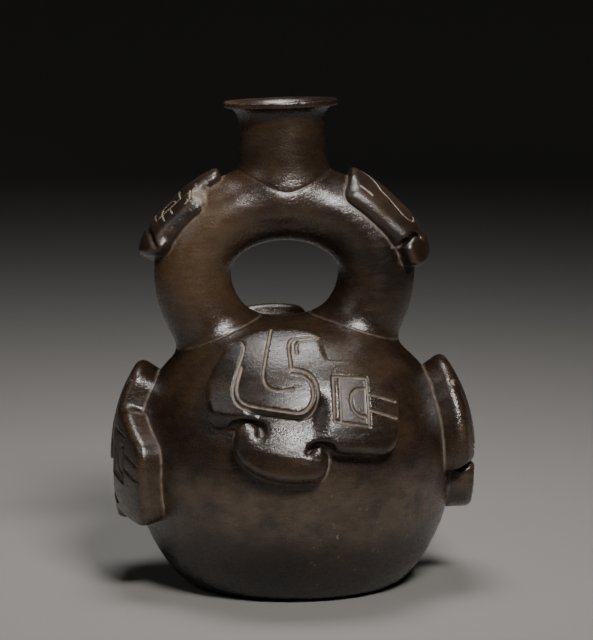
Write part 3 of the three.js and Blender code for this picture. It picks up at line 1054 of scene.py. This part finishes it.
def burnished_clay():
    """Reduced, smoke-blackened earthenware rubbed with a pebble before firing: near black
    with brown clouds where the smoke was thinner, a soft gloss broken by the strokes of the
    pebble, and pale earth left in the cuts and seams. The carbon in the skin lifts its IOR
    above plain clay's 1.5, which gives the highlights their strength."""
    material = bpy.data.materials.new("burnished_reduced_earthenware")
    material.use_nodes = True
    tree = material.node_tree
    tree.nodes.clear()

    place = add(tree, "TexCoord")["Object"]
    aside, _, height = add(tree, "SeparateXYZ", Vector=place)
    patterns = []
    for width, detail, lowness in FINISH.values():
        where = add(tree, "Mapping", Vector=place, Scale=(1, 1, lowness))[0]
        patterns.append(add(tree, "TexNoise", Vector=where, Scale=1 / (width * MM),
                            Detail=detail, Roughness=PATTERN_ROUGHNESS)["Fac"])
    cloud, patch, stroke, grain, earth, scratch = patterns
    # edge carries the painted highlight along the crests of slab and plaque edges.
    residue, edge, rough = (
        add(tree, "Attribute", {"attribute_name": name})["Fac"] for name in ("residue", "edge", "rough")
    )
    residue = strength(tree, residue, (STRAIGHT, earth, 0.36, 0.6, 0.25, 1))

    # Smoke was thinnest on the left of the stirrup and round the lower belly. Each layer is
    # how strongly it covers, what it brings, and whether it covers or tints.
    left = strength(
        tree, 1,
        (GENTLE, aside, LEFT_PALE_FROM, LEFT_PALE_FULL, 0, 1),
        (GENTLE, height, STIRRUP_FROM, STIRRUP_FULL, 0, 1),
        (GENTLE, rough, 0.1, 0.03, 0, 1),
        (STRAIGHT, cloud, 0.3, 0.6, 0.35, 0.8),
    )
    band = strength(
        tree, 1,
        (GENTLE, height, BAND[0], BAND[1], 0, 1),
        (GENTLE, height, BAND[2], BAND[3], 1, 0),
        (STRAIGHT, patch, 0.34, 0.6, 0.15, 0.65),
    )
    worn_off = strength(
        tree, 1,
        (STRAIGHT, rough, 0.3, 0.9, 0, 0.85),
        (STRAIGHT, earth, 0.4, 0.56, 0.3, 1),
    )
    scratched = strength(
        tree, 1,
        (STRAIGHT, scratch, 0.69, 0.73, 0, 0.6),
        (STRAIGHT, cloud, 0.48, 0.56, 0, 1),
        (GENTLE, height, SCRATCHED_BELOW, SCRATCHED_FULL, 0, 1),
    )
    skin = colour("#1a130e")
    for covering, over, how in (
        (strength(tree, 1, (STRAIGHT, cloud, 0.34, 0.5, 0, 1)), colour("#281d15"), "MIX"),
        (strength(tree, 1, (STRAIGHT, cloud, 0.5, 0.68, 0, 1)), colour("#3b2d20"), "MIX"),
        (strength(tree, 1, (STRAIGHT, patch, 0.46, 0.72, 0, 0.5)), colour("#40301f"), "MIX"),
        (left, colour("#57432f"), "MIX"),
        (band, colour("#5c4e3e"), "MIX"),
        (strength(tree, 1, (GENTLE, height, FOOT_DARK_FROM, FOOT_DARK_FULL, 0, 0.5)),
         colour("#120d0a"), "MIX"),
        (1, strength(tree, 1, (STRAIGHT, stroke, 0.3, 0.7, 0.9, 1.1)), "MULTIPLY"),
        (0.8, strength(tree, 1, (STRAIGHT, grain, 0.3, 0.7, 0.82, 1.18)), "MULTIPLY"),
        # Painted highlight: a paler brown along the crests of the slab and plaque edges.
        (strength(tree, edge, (STRAIGHT, patch, 0.4, 0.65, 0, 0.5)), colour("#54432f"), "MIX"),
        (worn_off, colour("#8c7d6a"), "MIX"),
        (residue, colour("#857665"), "MIX"),
        (scratched, colour("#9a8c79"), "MIX"),
    ):
        skin = add(tree, "Mix", {"data_type": "RGBA", "blend_type": how},
                   Factor_Float=covering, A_Color=skin, B_Color=over)[2]

    # Glossy by turns along the pebble's strokes, duller on the grain, dull where worn or earthy.
    roughness = strength(tree, 1, (STRAIGHT, stroke, 0.3, 0.7, 0.16, 0.25))
    roughness = add(tree, "Math", {"operation": "MULTIPLY_ADD"}, Value=grain, Value_001=0.13,
                    Value_002=roughness)[0]
    for covering, dullness in ((rough, 0.75), (residue, 0.85)):
        roughness = add(tree, "Mix", Factor_Float=covering, A_Float=roughness,
                        B_Float=dullness)[0]
    relief = add(tree, "Math", {"operation": "MULTIPLY_ADD"}, Value=stroke,
                 Value_001=STROKE_HEIGHT, Value_002=grain)[0]
    bump = add(tree, "Bump", Strength=BUMP_STRENGTH, Distance=BUMP_HEIGHT, Height=relief)[0]
    shader = add(tree, "BsdfPrincipled", Base_Color=skin, Roughness=roughness, Normal=bump,
                 IOR=SMOKED_CLAY_IOR)[0]
    add(tree, "OutputMaterial", Surface=shader)
    return material


def paper():
    """Seamless matte paper: pale, with no shine."""
    material = bpy.data.materials.new("matte_backdrop_paper")
    material.use_nodes = True
    shader = material.node_tree.nodes["Principled BSDF"]
    shader.inputs["Base Color"].default_value = colour("#8a8784")
    shader.inputs["Roughness"].default_value = 0.9
    shader.inputs["Specular IOR Level"].default_value = 0.15
    return material


# ---------------------------------------------------------------- the whole

clay = burnished_clay()


def settled(piece):
    """Gives a finished piece its metres, finish and place on the frame."""
    piece.data.transform(Matrix.Scale(MM, 4))
    piece.data.polygons.foreach_set("use_smooth", [True] * len(piece.data.polygons))
    piece.data.materials.clear()
    piece.data.materials.append(clay)
    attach(piece, "root")
    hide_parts("vessel")


for slab in SLABS:
    settled(belly_slab(*slab))
settled(shoulder_plaque("right_plaque", 1))
settled(shoulder_plaque("left_plaque", -1))
settled(body())


FLOOR_REACH = 2.6
SWEEP = 0.9
WALL_TOP = 3.2


def backdrop():
    """A pale floor that sweeps up all round, far from the vessel."""
    section = [(0, 0), (1, 0), (FLOOR_REACH, 0)]
    for turn in np.linspace(0.15, math.pi / 2, 10):
        section.append((FLOOR_REACH + SWEEP * math.sin(turn), SWEEP - SWEEP * math.cos(turn)))
    section.append((FLOOR_REACH + SWEEP, WALL_TOP))
    floor = spun("floor", section, ROUND_SIDES)
    floor.data.polygons.foreach_set("use_smooth", [True] * len(floor.data.polygons))
    floor.data.materials.append(paper())


def lamp(name, place, aim, size, power, shade, spread=180):
    """A softbox. Its spread, in degrees, is how far a grid lets its light fan out."""
    light = bpy.data.lights.new(name, "AREA")
    light.shape = "RECTANGLE"
    light.size, light.size_y = size
    light.energy = power
    light.color = colour(shade)[:3]
    light.spread = math.radians(spread)
    holder = bpy.data.objects.new(name, light)
    holder.location = place
    holder.rotation_euler = (Vector(aim) - Vector(place)).to_track_quat("-Z", "Y").to_euler()
    bpy.context.scene.collection.objects.link(holder)


backdrop()
lamp("key_softbox", (0.24, -0.93, 0.99), (0, 0, 0.17), (0.4, 0.2), 1.95, "#fffdfa", 56)
lamp("top_softbox", (0.0, 0.12, 1.1), (0, 0.12, 0), (0.4, 0.4), 7.5, "#ffffff")
lamp("left_softbox", (-0.9, -0.5, 0.8), (0, 0, 0.12), (0.3, 0.3), 0.9, "#fffdfa")

world = bpy.data.worlds.new("studio")
world.use_nodes = True
dim_room = world.node_tree.nodes["Background"].inputs
dim_room["Color"].default_value = colour("#c9c9cc")
dim_room["Strength"].default_value = 0.02
bpy.context.scene.world = world

AZIMUTH = math.radians(-4.5)
ELEVATION = math.radians(7.5)
DISTANCE = 1.35
AIM_HEIGHT = 0.1298
AIM_ASIDE = 0.00173
LENS = 153.7
FILM_WIDTH = 36
back = Vector((
    math.sin(AZIMUTH) * math.cos(ELEVATION),
    -math.cos(AZIMUTH) * math.cos(ELEVATION),
    math.sin(ELEVATION),
))
aside = Vector((math.cos(AZIMUTH), math.sin(AZIMUTH), 0))
camera = bpy.data.cameras.new("camera")
camera.sensor_width = FILM_WIDTH
camera.lens = LENS
eye = bpy.data.objects.new("camera", camera)
eye.location = aside * AIM_ASIDE + Vector((0, 0, AIM_HEIGHT)) + back * DISTANCE
eye.rotation_euler = (-back).to_track_quat("-Z", "Y").to_euler()
bpy.context.scene.collection.objects.link(eye)
bpy.context.scene.camera = eye

bpy.context.view_layer.update()
